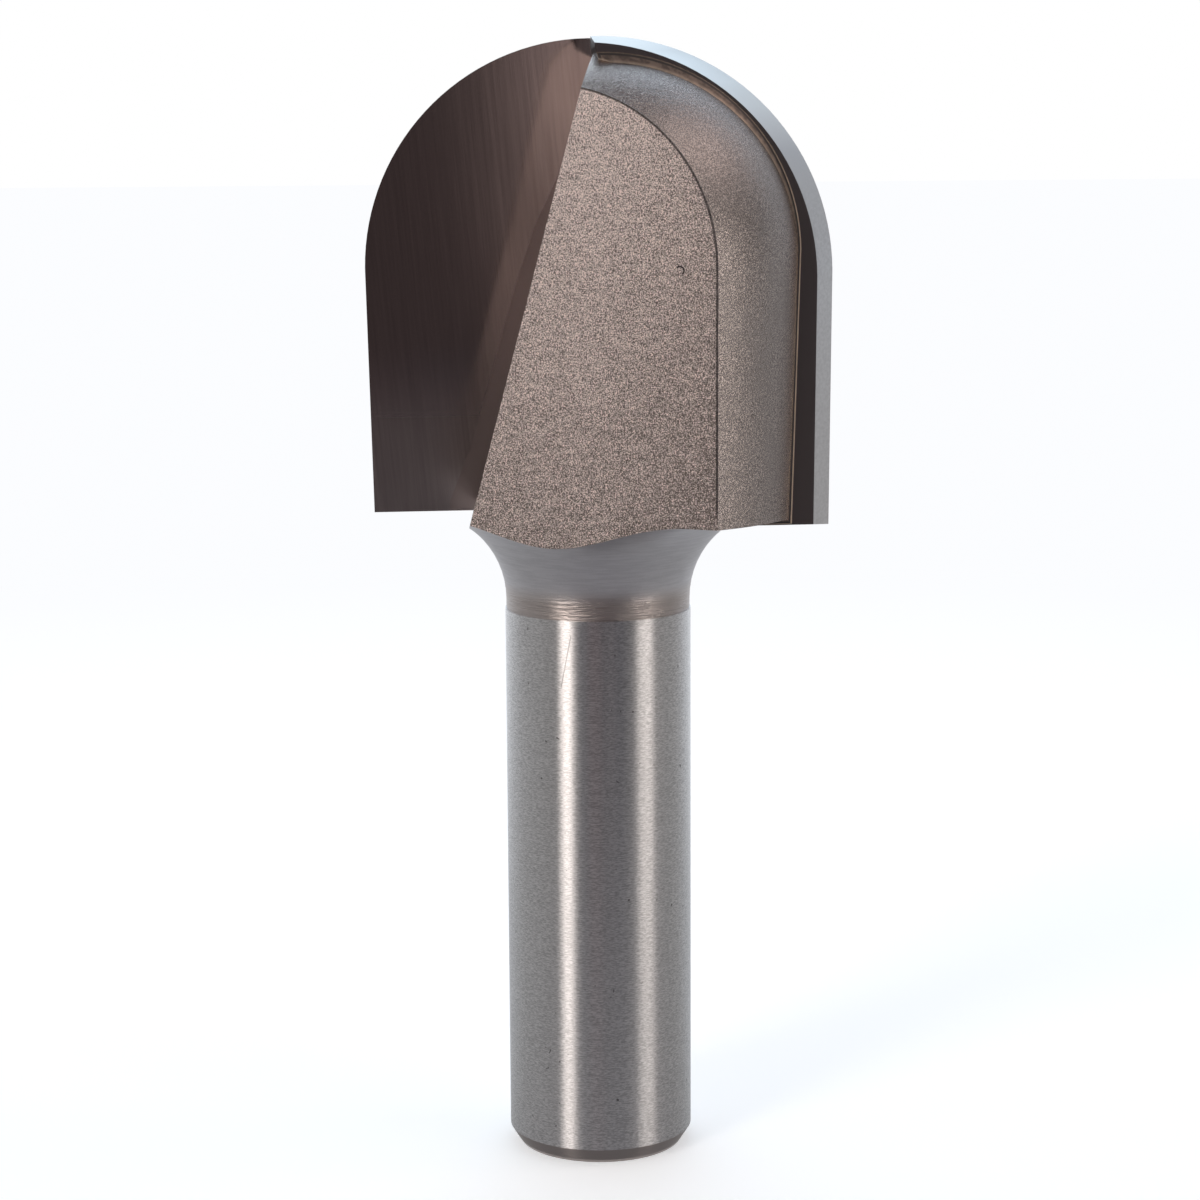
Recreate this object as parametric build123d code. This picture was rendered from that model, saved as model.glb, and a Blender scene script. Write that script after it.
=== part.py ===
from build123d import *
from math import cos, radians, sin, sqrt, tan
import os

# Round-nose router bit with two carbide tips. Millimetres and degrees.
# +Z runs along the axis of rotation, from the shank end (z = 0) to the cutting nose.
# The first tip points along -X and its cutting face looks towards -Y. The second is half a turn on.

# Catalogue sizes
shank_diameter = 12.70
cutting_diameter = 31.75
cutting_length = 32.46        # from the nose down to the foot of the tips
overall_length = 76.40

# Shank, neck and shoulder
end_chamfer_height = 1.10
end_chamfer_width = 0.70
neck_relief = 0.07            # the neck is this much smaller in radius than the ground shank
neck_length = 0.65
shoulder_radius = 6.20        # concave sweep from the neck out to the underside of the head

# Turned head
tip_stand_out = 1.725         # the cutting edges stand this far outside the turned side
dome_rise = 0.975             # centre of the dome above the centre of the tips' round nose
nose_facet_depth = 0.65       # the top of the dome is faced off by this much

# Carbide tips
face_offset = 3.93            # cutting face behind the axis, at the height of the nose centre
face_tilt = 4.6               # the face leans forwards towards the nose
tip_foot_drop = 0.76          # the foot of a tip hangs this far below the underside of the head
tip_thickness = 2.40
side_relief = 1.48            # how far the back of a tip stands inside its cutting edge
crown_relief = 0.66
radius_relief = 0.16
foot_relief = 0.33
tip_foot_inset = 7.89         # inner edge of a tip from the axis, at the underside of the head
tip_nose_inset = -0.92        # the same line carried on up to the nose, where it has passed the axis
past_axis = 0.60              # near the nose a tip is cut off straight, this far past the axis

# Silver solder behind each tip
braze_thickness = 0.10
braze_stand_out = 0.11        # bead beyond the turned side of the head
braze_crown = 0.30            # more bead over the dome
braze_drop = 0.35             # bead below the underside of the head
bead_depth = 0.50
bead_angle = 55

# Milled flats and chip gullets
flat_distance = 8.17          # from the axis
flat_angle = 118.2            # the first flat faces this far clockwise of +X
lip_foot_inset = 8.90         # lip of a gullet from the axis, at the underside of the head
lip_nose_inset = 0.94

# Worked out from the sizes above
shank_radius = shank_diameter / 2
neck_radius = shank_radius - neck_relief
cutting_radius = cutting_diameter / 2
nose_centre = overall_length - cutting_radius
tip_bottom = overall_length - cutting_length
head_radius = cutting_radius - tip_stand_out
head_bottom = tip_bottom + tip_foot_drop
dome_centre = nose_centre + dome_rise
nose_facet_height = dome_centre + head_radius - nose_facet_depth
shoulder_start = head_bottom - shoulder_radius
neck_start = shoulder_start - neck_length
tilt_sin, tilt_cos, tilt_tan = (f(radians(face_tilt)) for f in (sin, cos, tan))
face_distance = face_offset * tilt_cos
cutter_size = 2 * (overall_length + cutting_diameter)   # a cut reaches right past the bit


def face_plane(depth):
    """Plane of the first cutting face, moved back into the tip by a depth.

    Its x axis points outwards, its y axis up the face and its z axis into the tip. Its origin is
    the point nearest to the nose centre.
    """
    back = face_distance + depth
    return Plane(
        origin=(0, back * tilt_cos, nose_centre + back * tilt_sin),
        x_dir=(-1, 0, 0),
        z_dir=(0, tilt_cos, tilt_sin),
    )


def up_face(height, depth=0):
    """Place up face_plane(depth) that lies at a height above the shank end."""
    return (height - face_plane(depth).origin.Z) / tilt_cos


def setback(height, depth=0):
    """How far face_plane(depth) lies behind the axis at a height."""
    return face_offset + depth / tilt_cos + (nose_centre - height) * tilt_tan


def leaning(foot_inset, nose_inset, height):
    """Distance from the axis of a line that leans in from the underside of the head to the nose."""
    share = (height - head_bottom) / (overall_length - head_bottom)
    return foot_inset + (nose_inset - foot_inset) * share


def inner_edge(height):
    """Distance from the axis of the tip's inner edge, which is the root of the gullet too."""
    return leaning(tip_foot_inset, tip_nose_inset, height)


def inner_edge_up(up):
    """The same at a place up the cutting face."""
    return inner_edge(face_plane(0).origin.Z + up * tilt_cos)


def nose_end(centre, radius):
    """Point where the inner edge crosses a round nose."""
    lean = inner_edge_up(0) - inner_edge_up(1)
    gap = inner_edge_up(centre.Y) - centre.X
    rise = (gap * lean + sqrt((1 + lean**2) * radius**2 - gap**2)) / (1 + lean**2)
    return centre + Vector(gap - lean * rise, rise)


def tip_outline(depth, centre, radius, foot):
    """Face on face_plane(depth): round nose, side down to the foot, bottom and inner edge."""
    top = nose_end(centre, radius)
    side = centre + Vector(radius, 0)
    middle = centre + (top + side - centre * 2).normalized() * radius
    inner_foot = Vector(inner_edge_up(foot.Y), foot.Y)
    edges = [
        Line(inner_foot, foot),
        Line(foot, side),
        ThreePointArc(side, middle, top),
        Line(top, inner_foot),
    ]
    return face_plane(depth) * make_face(edges)


def turned_section(depth, radius, centre_height, bottom):
    """Centre, radius and foot of the outline that face_plane(depth) cuts from a domed cylinder."""
    centre = Vector(0, (centre_height - nose_centre) * tilt_cos)
    away = face_distance + depth + (nose_centre - centre_height) * tilt_sin
    foot = Vector(sqrt(radius**2 - setback(bottom, depth) ** 2), up_face(bottom, depth))
    return centre, sqrt(radius**2 - away**2), foot


def half_space(plane):
    """Everything on the side of a plane that its z axis points to."""
    return plane * Box(cutter_size, cutter_size, cutter_size, align=(Align.CENTER, Align.CENTER, Align.MIN))


def trimmed(shape):
    """What is left of the first tip, or of its solder, after the straight cut near the nose."""
    return shape - half_space(Plane(origin=(past_axis, 0, 0), x_dir=(0, 1, 0), z_dir=(1, 0, 0)))


def make_tip():
    """Carbide tip: its edge lies on the cutting circle and its land falls away to the back."""
    centre, radius, foot = turned_section(0, cutting_radius, nose_centre, tip_bottom)
    back_centre = centre + Vector(radius_relief - side_relief, radius_relief - crown_relief)
    back_foot = Vector(foot.X - side_relief, up_face(tip_bottom + foot_relief, tip_thickness))
    front = tip_outline(0, centre, radius, foot)
    back = tip_outline(tip_thickness, back_centre, radius - radius_relief, back_foot)
    return trimmed(loft([front, back], ruled=True))


def make_braze(body):
    """Solder film between the tip and its seat, with a sloped bead outside the turned surface."""
    radius = head_radius + braze_stand_out
    section = radius, dome_centre + braze_crown, head_bottom - braze_drop
    film = extrude(tip_outline(tip_thickness, *turned_section(tip_thickness, *section)), braze_thickness)
    seat_depth = tip_thickness + braze_thickness
    rim = tip_outline(seat_depth, *turned_section(seat_depth, *section))
    bead = extrude(rim, bead_depth, taper=bead_angle)
    return trimmed(film + (bead - body))


def make_blank():
    """The turned piece before milling: shank, neck, concave shoulder and domed head."""
    sweep_centre = neck_radius + shoulder_radius
    edges = [
        Polyline(
            (0, dome_centre + head_radius),
            (0, 0),
            (shank_radius - end_chamfer_width, 0),
            (shank_radius, end_chamfer_height),
            (shank_radius, neck_start),
            (neck_radius, neck_start),
            (neck_radius, shoulder_start),
        ),
        CenterArc((sweep_centre, shoulder_start), shoulder_radius, 180, -90),
        Polyline((sweep_centre, head_bottom), (head_radius, head_bottom), (head_radius, dome_centre)),
        CenterArc((0, dome_centre), head_radius, 0, 90),
    ]
    blank = revolve(Plane.XZ * make_face(edges), Axis.Z)
    return blank - half_space(Plane(origin=(0, 0, nose_facet_height)))


def gullet_section(height):
    """Level section of the first gullet's cutter path, from behind the root to past the lip."""
    facing = Vector(1, 0).rotate(Axis.Z, -flat_angle)
    root = Vector(-inner_edge(height), setback(height))
    lip_x = -leaning(lip_foot_inset, lip_nose_inset, height)
    lip = Vector(lip_x, (flat_distance - facing.X * lip_x) / facing.Y)
    wall = lip - root
    behind = root - wall
    beyond = lip + wall
    outline = Polyline(behind, beyond, (-cutter_size, beyond.Y), (-cutter_size, behind.Y), close=True)
    return Pos(0, 0, height) * make_face(outline)


def make_gullet():
    """Room for chips in front of the first cutting face. Its wall twists a little on the way up."""
    path = loft([gullet_section(shoulder_start), gullet_section(overall_length)], ruled=True)
    return path - half_space(face_plane(0))


def make_seat():
    """Pocket for the first tip and its solder, open to the outside."""
    low, high = up_face(shoulder_start), up_face(overall_length)
    pocket = Polyline(
        (inner_edge_up(low), low),
        (cutter_size, low),
        (cutter_size, high),
        (inner_edge_up(high), high),
        close=True,
    )
    return extrude(face_plane(0) * make_face(pocket), tip_thickness + braze_thickness)


def make_flat():
    """What is milled off to leave the flat behind the second tip."""
    facing = Vector(1, 0).rotate(Axis.Z, -flat_angle)
    return half_space(Plane(origin=facing * flat_distance, x_dir=(0, 0, 1), z_dir=facing))


def half_turn(shape):
    return shape.rotate(Axis.Z, 180)


def make_body():
    body = make_blank()
    for cut in (make_gullet(), make_seat(), make_flat()):
        body = body - cut - half_turn(cut)
    return body


steel_body = make_body()
carbide_tip = make_tip()
braze_joint = make_braze(steel_body)
nodes = {
    "steel_body": steel_body,
    "carbide_tip_1": carbide_tip,
    "carbide_tip_2": half_turn(carbide_tip),
    "braze_joint_1": braze_joint,
    "braze_joint_2": half_turn(braze_joint),
}

os.makedirs("parts", exist_ok=True)
for name, shape in nodes.items():
    export_step(shape, f"parts/{name}.step")
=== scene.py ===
import math

import bpy
from mathutils import Matrix, Vector

MM = 0.001

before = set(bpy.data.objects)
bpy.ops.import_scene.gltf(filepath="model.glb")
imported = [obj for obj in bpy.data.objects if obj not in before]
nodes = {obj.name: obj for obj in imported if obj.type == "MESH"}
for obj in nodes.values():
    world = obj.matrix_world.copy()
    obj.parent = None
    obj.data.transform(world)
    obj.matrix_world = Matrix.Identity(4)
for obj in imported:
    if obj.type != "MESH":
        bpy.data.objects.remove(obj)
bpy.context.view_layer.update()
scene = bpy.context.scene

# Sizes of the part, in millimetres, that the finishes follow.
CHAMFER_TOP = 1.10
SHANK_TOP = 37.85
NECK_TOP = 38.50
HEAD_BOTTOM = 44.70
NOSE_CENTRE = 60.525
FACE_OFFSET = 3.93
FACE_TILT = math.radians(4.6)
FLAT_DISTANCE = 8.17
FLAT_ANGLE = math.radians(-118.2)
DOME_CENTRE = 61.5
HEAD_RADIUS = 14.15
TIP_THICKNESS = 2.40
TOP = 76.40
INNER_FOOT = 7.89           # inner edge of a tip from the axis, at the underside of the head
INNER_NOSE = -0.92          # and, carried on, at the nose
HOOK_ALONG = 8.99           # the small hooked mark, along the flat from its middle
HOOK_HEIGHT = 61.27
HOOK_RADIUS = 0.27
SCRATCH_TOP = 36.93         # the long scratch on the shank
SCRATCH_LENGTH = 3.64
SCRATCH_BEARING = -113.0    # its upper end, in degrees around the axis
SCRATCH_TURN = -6.7         # degrees that it curves round on the way down

# ---------------------------------------------------------------- camera

CAMERA_REACH = 196.45       # level distance from the part's axis
CAMERA_HEIGHT = 70.88
CAMERA_BEARING = math.radians(6.455)
HEADING = math.radians(6.495)
PITCH = math.radians(-9.426)
ROLL = math.radians(-0.31)
FOCAL = 87.14


def add_camera():
    forward = Vector((
        math.sin(HEADING) * math.cos(PITCH),
        math.cos(HEADING) * math.cos(PITCH),
        math.sin(PITCH),
    ))
    level = Vector((math.cos(HEADING), -math.sin(HEADING), 0))
    upright = level.cross(forward)
    right = level * math.cos(ROLL) + upright * math.sin(ROLL)
    up = upright * math.cos(ROLL) - level * math.sin(ROLL)
    place = Vector((
        -CAMERA_REACH * math.sin(CAMERA_BEARING),
        -CAMERA_REACH * math.cos(CAMERA_BEARING),
        CAMERA_HEIGHT,
    )) * MM
    data = bpy.data.cameras.new("camera")
    data.sensor_width = 36
    data.lens = FOCAL
    data.clip_start = 0.005
    data.clip_end = 20
    camera = bpy.data.objects.new("camera", data)
    scene.collection.objects.link(camera)
    camera.matrix_world = Matrix.Translation(place) @ Matrix((right, up, -forward)).transposed().to_4x4()
    scene.camera = camera


add_camera()

# ---------------------------------------------------------------- node helpers


class Net:
    """A material's or world's node tree, with one short call per node."""

    def __init__(self, tree):
        self.tree = tree
        tree.nodes.clear()

    def put(self, socket, value):
        if isinstance(value, bpy.types.NodeSocket):
            self.tree.links.new(value, socket)
        elif value is not None:
            socket.default_value = value

    def node(self, kind, inputs=(), **settings):
        node = self.tree.nodes.new("ShaderNode" + kind)
        for key, value in settings.items():
            setattr(node, key, value)
        items = inputs.items() if isinstance(inputs, dict) else enumerate(inputs)
        for key, value in items:
            self.put(node.inputs[key], value)
        return node

    def math(self, operation, *values):
        return self.node("Math", values, operation=operation).outputs[0]

    def size(self, value):
        return self.math("ABSOLUTE", value)

    def most(self, a, b):
        return self.math("MAXIMUM", a, b)

    def length(self, *values):
        return self.math("SQRT", self.add(*(self.mul(value, value) for value in values)))

    def mul(self, *values):
        out = values[0]
        for value in values[1:]:
            out = self.math("MULTIPLY", out, value)
        return out

    def add(self, *values):
        out = values[0]
        for value in values[1:]:
            out = self.math("ADD", out, value)
        return out

    def sub(self, a, b):
        return self.math("SUBTRACT", a, b)

    def share(self, value, low, high):
        """How far a value has come from low to high, evenly from 0 to 1."""
        return self.node("MapRange", (value, low, high)).outputs[0]

    def step(self, value, low, high, to_low=0.0, to_high=1.0):
        """The same with a soft start and end, which also runs downwards."""
        return self.node(
            "MapRange", (value, low, high, to_low, to_high), interpolation_type="SMOOTHSTEP"
        ).outputs[0]

    def band(self, value, centre, half, soft):
        """1 within half of the centre, falling to 0 over soft."""
        return self.step(self.size(self.sub(value, centre)), half, half + soft, 1.0, 0.0)

    def mix(self, kind, share, a, b):
        node = self.node("Mix", data_type=kind)
        self.put(node.inputs["Factor"], share)
        self.put(node.inputs["A"], a)
        self.put(node.inputs["B"], b)
        return node.outputs["Result"]

    def blend(self, share, a, b):
        """Colour a where share is 0 and b where it is 1."""
        return self.mix("RGBA", share, self.colour(a), self.colour(b))

    def lerp(self, share, a, b):
        """Number a where share is 0 and b where it is 1."""
        return self.mix("FLOAT", share, a, b)

    def colour(self, value):
        return (*value, 1) if isinstance(value, tuple) else value

    def ramp(self, value, low, high, stops):
        """Colour by how far a value has come from low to high. A stop may be a plain number."""
        node = self.node("ValToRGB", (self.share(value, low, high),))
        elements = node.color_ramp.elements
        while len(elements) < len(stops):
            elements.new(0.5)
        for element, (place, colour) in zip(elements, stops):
            element.position = place
            element.color = self.colour(colour if isinstance(colour, tuple) else (colour,) * 3)
        return node.outputs["Color"]

    def scaled(self, vector, *factors):
        return self.node("VectorMath", {0: vector, 1: factors}, operation="MULTIPLY").outputs[0]

    def noise(self, vector, scale, detail, roughness):
        return self.node(
            "TexNoise", {"Vector": vector, "Scale": scale, "Detail": detail, "Roughness": roughness}
        ).outputs["Fac"]

    def millimetres(self):
        """Position on the part in millimetres, as a vector and its x, y and z."""
        place = self.scaled(self.node("TexCoord").outputs["Object"], 1000, 1000, 1000)
        parts = self.node("SeparateXYZ", (place,)).outputs
        return place, parts[0], parts[1], parts[2]

    def seen(self):
        """1 for the camera, for gloss and for glass, and 0 for the light that reaches a surface."""
        path = self.node("LightPath").outputs
        return self.most(
            self.most(path["Is Camera Ray"], path["Is Glossy Ray"]), path["Is Transmission Ray"]
        )

    def emission(self, colour, strength=1.0):
        return self.node("Emission", {"Color": colour, "Strength": strength}).outputs[0]

    def metal(self, colour, roughness, bump, **more):
        """A metal. A name's underscores stand for the spaces in a socket's name."""
        more = {key.replace("_", " "): value for key, value in more.items()}
        return self.node("BsdfPrincipled", {
            "Base Color": colour, "Metallic": 1.0, "Roughness": roughness, "Normal": bump, **more,
        }).outputs[0]

    def bump(self, height, strength, depth):
        return self.node(
            "Bump", {"Strength": strength, "Distance": depth * MM, "Height": height}
        ).outputs[0]

    def finish(self, shader, kind="OutputMaterial"):
        self.tree.links.new(shader, self.node(kind).inputs[0])


def new_material(name):
    material = bpy.data.materials.new(name)
    material.use_nodes = True
    return material, Net(material.node_tree)


# ---------------------------------------------------------------- studio

FLOOR_REACH = 3.0                   # metres
TENT_RADIUS = 0.9
TENT_SINK = 0.02                    # the tent's rim reaches this far below the table
CAMERA_SIDE = math.radians(-96.5)   # turns in the studio are counted from here, to the right


def add_world():
    """White all round. What lights the part is a little over half as strong as what is seen."""
    world = bpy.data.worlds.new("studio_world")
    scene.world = world
    world.use_nodes = True
    net = Net(world.node_tree)
    strength = net.lerp(net.seen(), 0.55, 1.0)
    light = net.node("Background", {"Color": (1, 1, 1, 1), "Strength": strength}).outputs[0]
    net.finish(light, "OutputWorld")


add_world()


def stage_object(name, mesh_vertices, faces, material):
    mesh = bpy.data.meshes.new(name)
    mesh.from_pydata(mesh_vertices, [], faces)
    mesh.materials.append(material)
    obj = bpy.data.objects.new(name, mesh)
    scene.collection.objects.link(obj)
    return obj


def add_floor():
    """White table: shaded near the part, and as white as the background further out."""
    material, net = new_material("floor")
    seen = net.seen()
    place = net.node("TexCoord").outputs["Object"]
    away = net.node("VectorMath", (place,), operation="LENGTH").outputs["Value"]
    far = net.mul(seen, net.step(away, 0.07, 0.26))
    near = net.node("BsdfDiffuse", {"Color": (0.80, 0.815, 0.83, 1)})
    lift = net.emission((0.96, 0.98, 1.0, 1), net.mul(seen, 0.43))
    shaded = net.node("AddShader", (near.outputs[0], lift))
    white = net.emission((0.97, 0.98, 1.0, 1))
    net.finish(net.node("MixShader", (far, shaded.outputs[0], white)).outputs[0])
    corners = [(x * FLOOR_REACH, y * FLOOR_REACH, 0) for x, y in ((-1, -1), (1, -1), (1, 1), (-1, 1))]
    stage_object("floor", corners, [(0, 1, 2, 3)], material)


add_floor()


def studio_direction(net):
    """Turn and height in degrees of a place on a stage object, and its distance from the table's middle."""
    place = net.node("TexCoord").outputs["Object"]
    direction = net.node("VectorMath", (place,), operation="NORMALIZE").outputs[0]
    x, y, z = net.node("SeparateXYZ", (direction,)).outputs
    turn = net.math("WRAP", net.sub(net.math("ARCTAN2", y, x), CAMERA_SIDE), math.pi, -math.pi)
    return (
        net.mul(turn, 180 / math.pi),
        net.mul(net.math("ARCSINE", z), 180 / math.pi),
        net.node("VectorMath", (place,), operation="LENGTH").outputs["Value"],
    )


def around(net, turn, stops):
    """Colour by turn, from stops given in degrees."""
    return net.ramp(turn, -180.0, 180.0, [((degrees + 180) / 360, colour) for degrees, colour in stops])


def add_tent():
    """The light tent around the table: white behind, greyer at the sides, dark where the camera stands."""
    material, net = new_material("tent")
    turn, height, _ = studio_direction(net)
    low = around(net, turn, [
        (-180, (1.20, 1.38, 1.55)),
        (-140, (0.90, 0.96, 1.02)),
        (-108, (0.50, 0.50, 0.51)),
        (-60, (0.36, 0.35, 0.34)),
        (-30, (0.33, 0.32, 0.32)),
        (-16, (0.16, 0.165, 0.18)),
        (-11, (0.22, 0.16, 0.17)),
        (2, (0.19, 0.14, 0.15)),
        (6, (0.070, 0.067, 0.080)),
        (30, (0.08, 0.08, 0.10)),
        (44, (0.30, 0.29, 0.28)),
        (80, (0.33, 0.315, 0.305)),
        (98, (0.27, 0.26, 0.255)),
        (115, (0.36, 0.345, 0.34)),
        (140, (0.85, 0.92, 1.00)),
        (180, (1.20, 1.38, 1.55)),
    ])
    high = around(net, turn, [
        (-180, (2.40, 2.85, 3.20)),
        (-150, (1.20, 1.36, 1.50)),
        (-110, (0.60, 0.60, 0.61)),
        (-60, (0.55, 0.53, 0.52)),
        (-25, (0.30, 0.29, 0.29)),
        (0, (0.20, 0.18, 0.18)),
        (30, (0.30, 0.29, 0.29)),
        (55, (0.85, 0.80, 0.77)),
        (95, (0.82, 0.76, 0.74)),
        (112, (0.46, 0.44, 0.44)),
        (130, (0.52, 0.54, 0.60)),
        (150, (0.90, 1.05, 1.20)),
        (165, (1.75, 2.15, 2.55)),
        (180, (2.40, 2.85, 3.20)),
    ])
    top = around(net, turn, [
        (-180, (0.20, 0.19, 0.20)),
        (-60, (0.40, 0.39, 0.38)),
        (0, (0.30, 0.29, 0.28)),
        (50, (0.75, 0.70, 0.68)),
        (92, (0.75, 0.70, 0.68)),
        (112, (0.20, 0.19, 0.20)),
        (180, (0.20, 0.19, 0.20)),
    ])
    wall = net.blend(net.step(height, 22, 42), low, high)
    wall = net.blend(net.step(height, 56, 62), wall, top)
    warm = net.mul(net.band(turn, 95, 5, 9), net.band(height, 50, 5, 9))
    wall = net.blend(warm, wall, (2.50, 2.08, 1.92))
    left = net.mul(net.band(turn, -40.0, 3, 9), net.band(height, 18, 22, 8))
    right = net.mul(net.band(turn, 60, 5, 11), net.band(height, 1, 7, 7), 0.88)
    net.finish(net.emission(net.blend(net.most(left, right), wall, (6.0, 5.52, 5.15))))

    rings, sides = 24, 48
    vertices, faces = [], []
    for i in range(rings + 1):
        lean = math.pi / 2 * i / rings
        for j in range(sides):
            bearing = 2 * math.pi * j / sides
            vertices.append((
                TENT_RADIUS * math.cos(lean) * math.cos(bearing),
                TENT_RADIUS * math.cos(lean) * math.sin(bearing),
                TENT_RADIUS * math.sin(lean) - TENT_SINK,
            ))
    for i in range(rings):
        for j in range(sides):
            k = (j + 1) % sides
            faces.append((i * sides + j, i * sides + k, (i + 1) * sides + k, (i + 1) * sides + j))
    tent = stage_object("tent", vertices, faces, material)
    tent.visible_camera = False
    tent.visible_shadow = False


add_tent()


def add_table_card():
    """Grey card on the table that only gloss sees: darker towards the camera, lighter behind the part."""
    material, net = new_material("table_card")
    turn, _, away = studio_direction(net)
    close = around(net, turn, [
        (-180, (0.55, 0.56, 0.58)),
        (-110, (0.38, 0.38, 0.38)),
        (-30, (0.29, 0.285, 0.295)),
        (30, (0.29, 0.285, 0.295)),
        (110, (0.38, 0.38, 0.38)),
        (180, (0.55, 0.56, 0.58)),
    ])
    distant = around(net, turn, [
        (-180, (0.92, 0.94, 0.97)),
        (-110, (0.50, 0.50, 0.50)),
        (-50, (0.30, 0.29, 0.28)),
        (-30, (0.09, 0.07, 0.07)),
        (36, (0.09, 0.07, 0.07)),
        (60, (0.34, 0.33, 0.32)),
        (110, (0.50, 0.50, 0.50)),
        (180, (0.92, 0.94, 0.97)),
    ])
    front = around(net, turn, [
        (-60, (0.30, 0.295, 0.29)),
        (-34, (0.15, 0.155, 0.17)),
        (-14, (0.085, 0.095, 0.12)),
        (-10, (0.14, 0.10, 0.105)),
        (3, (0.14, 0.10, 0.105)),
        (7, (0.072, 0.074, 0.090)),
        (32, (0.075, 0.08, 0.10)),
        (60, (0.32, 0.315, 0.31)),
    ])
    colour = net.blend(net.step(away, 0.06, 0.16), close, distant)
    ring = net.mul(net.step(away, 0.09, 0.15), net.step(away, 0.215, 0.18), net.band(turn, 0, 40, 20))
    colour = net.blend(ring, colour, front)

    # two warm patches to the right of the camera, which the cutting face shows
    right_end = net.step(turn, 22.0, 18.0)
    start = net.add(net.mul(net.most(net.sub(0.345, away), 0.0), 4.5), 9.8)
    patch = net.mul(net.step(net.sub(turn, start), -0.2, 0.2), right_end, net.step(away, 0.205, 0.245))
    colour = net.blend(patch, colour, net.ramp(away, 0.2, 0.6, [
        (0.05, (0.13, 0.103, 0.10)),
        (0.17, (0.24, 0.185, 0.175)),
        (0.28, (0.31, 0.24, 0.225)),
        (0.38, (0.27, 0.21, 0.20)),
        (0.50, (0.20, 0.157, 0.148)),
    ]))
    glow = net.mul(net.step(turn, 11.2, 11.5), net.step(away, 0.37, 0.43), right_end)
    net.finish(net.emission(net.blend(glow, colour, (0.61, 0.48, 0.455))))

    sides = 64
    height = 0.0002
    bearings = [2 * math.pi * j / sides for j in range(sides)]
    rim = [(TENT_RADIUS * math.cos(t), TENT_RADIUS * math.sin(t), height) for t in bearings]
    card = stage_object("table_card", rim, [tuple(range(sides))], material)
    card.visible_camera = False
    card.visible_diffuse = False
    card.visible_shadow = False


add_table_card()

# ---------------------------------------------------------------- materials


def true_normal(net):
    return net.node("SeparateXYZ", (net.node("NewGeometry").outputs["True Normal"],)).outputs


def behind_face(net, y, z):
    """Millimetres behind the cutting face of the nearer tip."""
    along = net.add(
        net.mul(net.size(y), math.cos(FACE_TILT)),
        net.mul(net.sub(z, NOSE_CENTRE), math.sin(FACE_TILT)),
    )
    return net.sub(along, FACE_OFFSET * math.cos(FACE_TILT))


def outside_turned(net, x, y, z):
    """Millimetres outside the turned side and dome of the head."""
    over = net.most(net.sub(z, DOME_CENTRE), 0.0)
    return net.sub(net.length(x, y, over), HEAD_RADIUS)


def hook_mark(net, along, z):
    """Small hooked scratch on the flat."""
    right = net.sub(along, HOOK_ALONG)
    up = net.sub(z, HOOK_HEIGHT)
    away = net.size(net.sub(net.length(right, up), HOOK_RADIUS))
    return net.mul(net.step(away, 0.07, 0.03), net.step(net.add(right, up), -0.12, 0.02))


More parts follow.
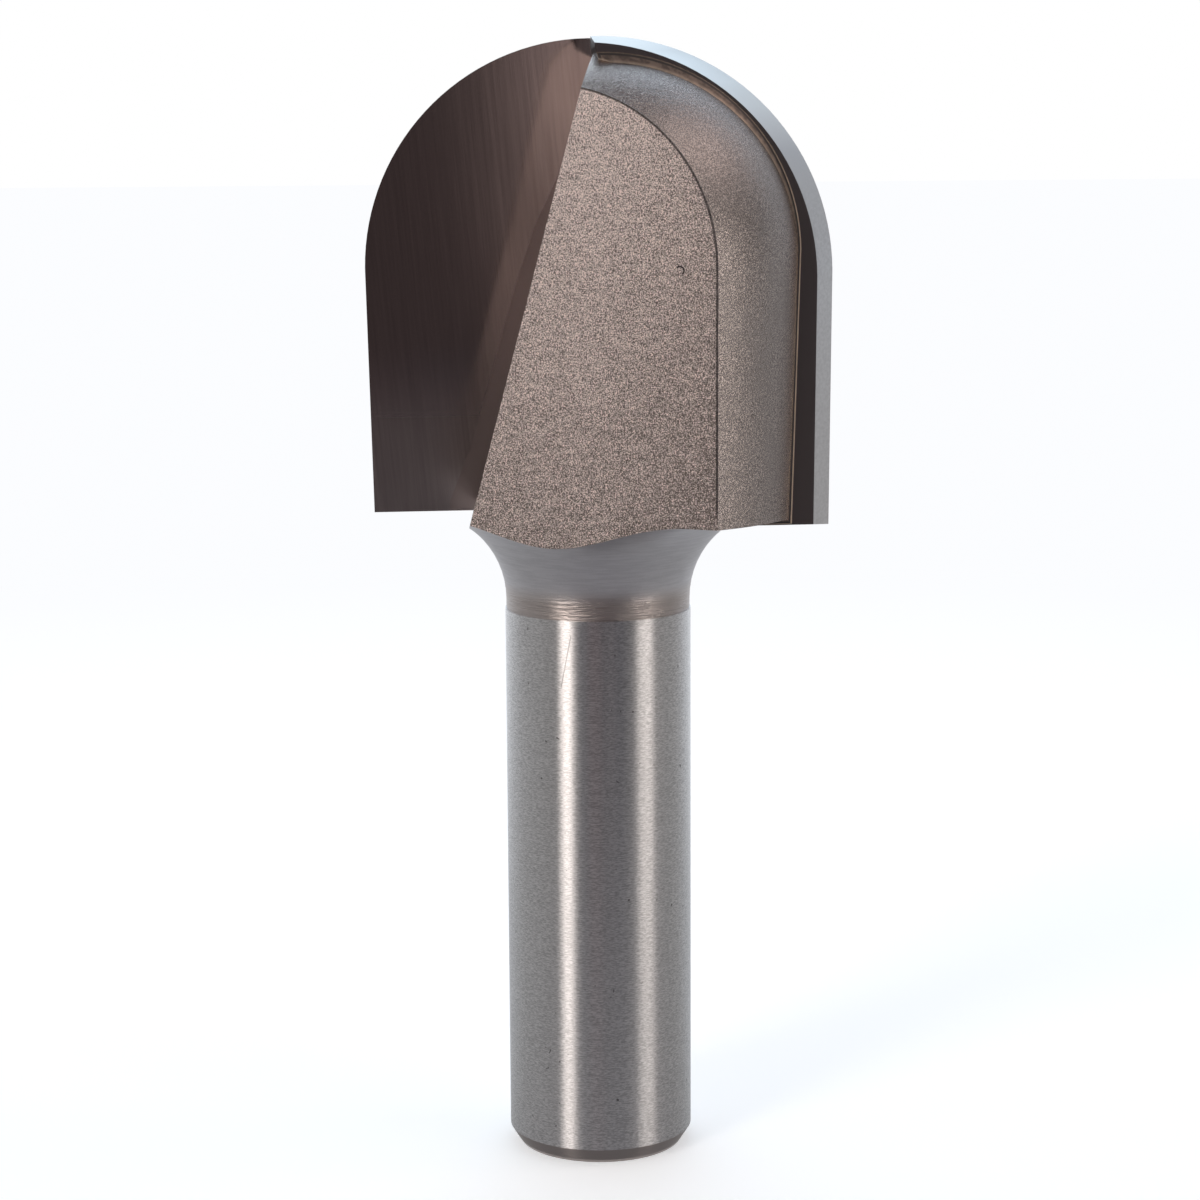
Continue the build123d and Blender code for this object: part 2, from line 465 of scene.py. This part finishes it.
def head_finish(net, place, x, y, z):
    """Milled flats and a turned dome, all bead-blasted, with a smoother sweep down to the neck."""
    nx, ny = math.cos(FLAT_ANGLE), math.sin(FLAT_ANGLE)
    off_flat = net.size(net.add(net.mul(x, nx), net.mul(y, ny)))
    along = net.add(net.mul(x, -ny), net.mul(y, nx))
    outside = outside_turned(net, x, y, z)
    on_flat = net.step(off_flat, FLAT_DISTANCE - 0.03, FLAT_DISTANCE - 0.01)
    on_wall = net.mul(
        net.step(net.size(true_normal(net)[0]), 0.88, 0.92),
        net.step(outside, -0.05, -0.12),
        net.step(z, HEAD_BOTTOM - 0.02, HEAD_BOTTOM + 0.02),
    )
    on_sweep = net.mul(net.step(z, HEAD_BOTTOM - 0.03, HEAD_BOTTOM - 0.06), net.sub(1.0, on_flat))
    near_neck = net.step(z, NECK_TOP + 1.3, NECK_TOP + 0.1)

    grain = net.noise(place, 12.0, 3.0, 0.7)
    blast = net.noise(place, 2.3, 3.0, 0.6)
    cloud = net.noise(place, 0.25, 2.0, 0.5)
    rows = net.noise(net.scaled(place, 0.8, 0.8, 2.6), 1.0, 2.0, 0.6)
    rings = net.noise(net.scaled(place, 0.5, 0.5, 7.0), 1.0, 3.0, 0.65)

    tone = net.add(
        net.mul(net.sub(grain, 0.5), 4.6),
        net.mul(net.sub(rows, 0.5), net.mul(on_flat, 0.4)),
        0.5,
    )
    # The flat's tone also carries painted shade: darker towards the bottom and towards the flat's
    # right-hand end.
    flat_tone_and_shade = net.add(
        tone,
        net.mul(net.sub(z, 60.0), 0.010),
        net.mul(net.most(net.sub(along, 3.0), 0.0), -0.017),
    )
    flat_colour = net.blend(net.step(flat_tone_and_shade, 0.0, 1.0), (0.15, 0.126, 0.117), (0.97, 0.83, 0.78))
    turned_colour = net.blend(net.step(tone, 0.15, 0.85), (0.20, 0.173, 0.164), (0.47, 0.415, 0.395))
    cloudy = net.mul(net.step(cloud, 0.4, 0.65), 0.45)
    turned_colour = net.blend(cloudy, turned_colour, (0.30, 0.27, 0.26))
    # Painted shade on the gullet wall: dark low in the gullet, lighter towards the top of the head.
    wall_shade_colour = net.ramp(z, 44.0, 76.0, [
        (0.0, (0.11, 0.088, 0.083)),
        (0.16, (0.13, 0.105, 0.10)),
        (0.28, (0.18, 0.143, 0.135)),
        (0.375, (0.25, 0.195, 0.185)),
        (0.47, (0.28, 0.22, 0.205)),
        (0.60, (0.25, 0.195, 0.183)),
        (0.70, (0.34, 0.27, 0.255)),
        (0.84, (0.51, 0.415, 0.39)),
        (1.0, (0.55, 0.445, 0.42)),
    ])
    sweep_colour = net.blend(net.step(rings, 0.35, 0.65), (0.53, 0.525, 0.55), (0.60, 0.593, 0.62))
    mottled = net.mul(net.sub(net.step(grain, 0.4, 0.6), 0.5), 0.25)
    sweep_colour = net.blend(mottled, sweep_colour, (0.75, 0.74, 0.77))
    browned = net.step(z, NECK_TOP + 1.6, NECK_TOP + 0.2)
    sweep_colour = net.blend(browned, sweep_colour, (0.44, 0.392, 0.375))
    colour = net.blend(on_flat, turned_colour, flat_colour)
    colour = net.blend(on_sweep, colour, sweep_colour)
    colour = net.blend(on_wall, colour, wall_shade_colour)
    # A dark line of painted shade along the flat's boundary with the turned side; the hooked scratch is a
    # real mark.
    edge_shade = net.mul(
        on_flat,
        net.step(outside, -0.13, -0.08),
        net.step(z, HEAD_BOTTOM + 0.3, HEAD_BOTTOM + 1.5),
    )
    marks_and_edge_shade = net.most(net.mul(edge_shade, 0.85), net.mul(on_flat, hook_mark(net, along, z)))
    colour = net.blend(marks_and_edge_shade, colour, (0.05, 0.043, 0.045))

    rough = net.lerp(net.most(on_flat, on_wall), 0.22, 0.38)
    rough = net.lerp(on_sweep, rough, net.lerp(near_neck, 0.42, 0.28))
    relief = net.add(net.mul(grain, 0.75), net.mul(blast, 0.45), net.mul(rows, 0.6))
    relief = net.mul(relief, net.lerp(on_flat, 0.38, 1.0))
    relief = net.lerp(on_sweep, relief, net.mul(rings, net.lerp(near_neck, 0.05, 1.1)))
    return net.metal(colour, rough, net.bump(relief, 1.0, 0.085))


def shank_finish(net, place, x, y, z):
    """Ground round and round, with a long curved scratch, a few pits and painted shade on the end chamfer,
    which is darker and browner.
    """
    lines = net.noise(net.scaled(place, 0.35, 0.35, 22.0), 1.0, 3.0, 0.7)
    dashes = net.noise(net.scaled(place, 3.6, 3.6, 18.0), 1.0, 3.0, 0.7)
    wear = net.add(net.mul(net.sub(dashes, 0.5), 2.3), net.mul(net.sub(lines, 0.5), 0.6), 0.5)
    colour = net.blend(net.step(wear, 0.2, 0.8), (0.45, 0.443, 0.447), (0.745, 0.733, 0.738))

    bearing = net.mul(net.math("ARCTAN2", y, x), 180 / math.pi)
    down = net.math("DIVIDE", net.sub(SCRATCH_TOP, z), SCRATCH_LENGTH)
    scratch = net.mul(
        net.band(bearing, net.add(net.mul(down, SCRATCH_TURN), SCRATCH_BEARING), 0.15, 0.35),
        net.step(down, -0.02, 0.04),
        net.step(down, 1.04, 0.96),
        net.step(dashes, 0.25, 0.5),
    )
    colour = net.blend(net.mul(scratch, 0.7), colour, (0.16, 0.15, 0.15))
    pits = net.mul(
        net.step(net.noise(place, 3.4, 0.0, 0.5), 0.80, 0.83),
        net.step(net.noise(place, 0.35, 1.0, 0.5), 0.54, 0.62),
    )
    colour = net.blend(net.mul(pits, 0.8), colour, (0.12, 0.11, 0.11))
    # Painted shade: the end chamfer, facing the shaded table below it, is painted darker and browner.
    chamfer_shade = net.step(z, CHAMFER_TOP + 0.03, CHAMFER_TOP - 0.03)
    colour = net.blend(chamfer_shade, colour, (0.36, 0.32, 0.305))

    return net.metal(
        colour, 0.29, net.bump(net.add(lines, dashes), 0.6, 0.005),
        Anisotropic=1.0,
        Anisotropic_Rotation=0.25,
        Tangent=net.node("Tangent", direction_type="RADIAL", axis="Z").outputs[0],
    )


def steel():
    material, net = new_material("steel")
    place, x, y, z = net.millimetres()
    head = head_finish(net, place, x, y, z)
    shank = shank_finish(net, place, x, y, z)
    on_shank = net.step(z, SHANK_TOP + 0.05, SHANK_TOP - 0.05)
    net.finish(net.node("MixShader", (on_shank, head, shank)).outputs[0])
    return material


def carbide():
    """Fine-ground face and land. The back, the foot and the sawn end near the nose stay dull."""
    material, net = new_material("carbide")
    place, x, y, z = net.millimetres()
    normal = true_normal(net)
    side = net.math("SIGN", y)
    depth = behind_face(net, y, z)
    on_face = net.band(depth, 0.0, 0.01, 0.015)
    outward = net.mul(normal[0], side, -1.0)
    on_land = net.mul(
        net.step(depth, 0.01, 0.03),
        net.step(depth, TIP_THICKNESS - 0.01, TIP_THICKNESS - 0.03),
        net.step(outward, -0.45, -0.35),
        net.step(normal[2], -0.8, -0.7),
    )
    on_end = net.mul(net.step(z, 70.0, 71.0), net.step(outward, -0.97, -0.99))

    # the margin beside the gullet that the grinding wheel has missed
    share = net.math("DIVIDE", net.sub(z, HEAD_BOTTOM), TOP - HEAD_BOTTOM)
    beyond = net.sub(net.mul(x, side, -1.0), net.lerp(share, INNER_FOOT, INNER_NOSE))
    margin = net.ramp(z, 43.0, 70.0, [
        (0.055, 0.925),
        (0.22, 0.68),
        (0.60, 0.68),
        (0.76, 0.58),
        (0.87, 0.30),
        (1.0, 0.0),
    ])
    unground = net.mul(on_face, net.step(net.sub(beyond, net.mul(margin, 2.0)), 0.05, -0.05))

    slanted = net.mul(net.add(x, net.mul(z, 0.10)), 4.5)
    stretched = net.node("CombineXYZ", (slanted, net.mul(y, 0.5), net.mul(z, 0.10))).outputs[0]
    streaks = net.noise(stretched, 1.0, 4.0, 0.65)
    grind = net.noise(net.scaled(place, 5.0, 0.8, 5.0), 1.0, 3.0, 0.6)

    face_colour = net.blend(net.step(streaks, 0.2, 0.8), (0.285, 0.252, 0.248), (0.365, 0.325, 0.318))
    face_colour = net.blend(unground, face_colour, (0.31, 0.262, 0.252))
    land_colour = net.blend(net.step(grind, 0.3, 0.7), (0.385, 0.368, 0.366), (0.46, 0.444, 0.442))
    # Painted highlight and reflection on the land's crown: lighter and bluer around 71 to 73 mm up, darker
    # again towards the nose.
    crown_sheen_colour = net.ramp(z, 66.0, 76.0, [
        (0.0, (0.42, 0.41, 0.41)),
        (0.26, (0.42, 0.415, 0.425)),
        (0.56, (0.60, 0.605, 0.60)),
        (0.72, (0.60, 0.605, 0.60)),
        (0.84, (0.48, 0.475, 0.465)),
        (0.92, (0.36, 0.35, 0.34)),
    ])
    land_colour = net.blend(net.step(z, 62.0, 69.0), land_colour, crown_sheen_colour)
    colour = net.blend(on_end, (0.15, 0.133, 0.132), (0.10, 0.085, 0.08))
    colour = net.blend(on_land, colour, land_colour)
    colour = net.blend(on_face, colour, face_colour)

    face_rough = net.lerp(net.step(z, 56.0, 49.0), 0.11, 0.30)
    rough = net.lerp(on_land, 0.40, 0.30)
    rough = net.lerp(on_face, rough, net.lerp(unground, face_rough, 0.42))
    relief = net.add(net.mul(streaks, on_face), net.mul(grind, on_land))
    net.finish(net.metal(colour, rough, net.bump(relief, 0.5, 0.002)))
    return material


def braze():
    """Silver solder: dark with flux, with painted highlights along the film and along the outer rim of the
    bead.
    """
    material, net = new_material("braze")
    place, x, y, z = net.millimetres()
    depth = behind_face(net, y, z)
    outside = outside_turned(net, x, y, z)
    # Painted highlights: a bright line along the film, fainter over the crown, and a faint one along the
    # bead's outer rim over the crown.
    film = net.step(depth, TIP_THICKNESS + 0.13, TIP_THICKNESS + 0.09)
    film = net.mul(film, net.lerp(net.step(z, 64.0, 72.0), 1.0, 0.16))
    rim = net.mul(net.step(outside, 0.15, 0.02), net.step(z, 62.0, 69.0), 0.18)
    shadow = net.band(depth, TIP_THICKNESS + 0.17, 0.03, 0.05)
    crown = net.mul(net.step(z, 62.0, 68.0), 0.5)
    tone = net.step(net.noise(place, 2.2, 3.0, 0.6), 0.35, 0.65)
    colour = net.blend(tone, (0.10, 0.075, 0.065), (0.26, 0.19, 0.155))
    colour = net.blend(crown, colour, (0.06, 0.047, 0.043))
    colour = net.blend(shadow, colour, (0.04, 0.034, 0.033))
    colour = net.blend(net.most(film, rim), colour, (0.93, 0.74, 0.56))
    net.finish(net.metal(colour, 0.34, None, Metallic=0.7))
    return material


def dress(material, *names):
    for name in names:
        for slot in nodes[name].material_slots:
            slot.material = material


dress(steel(), "steel_body")
dress(carbide(), "carbide_tip_1", "carbide_tip_2")
dress(braze(), "braze_joint_1", "braze_joint_2")

scene.view_settings.view_transform = "Standard"
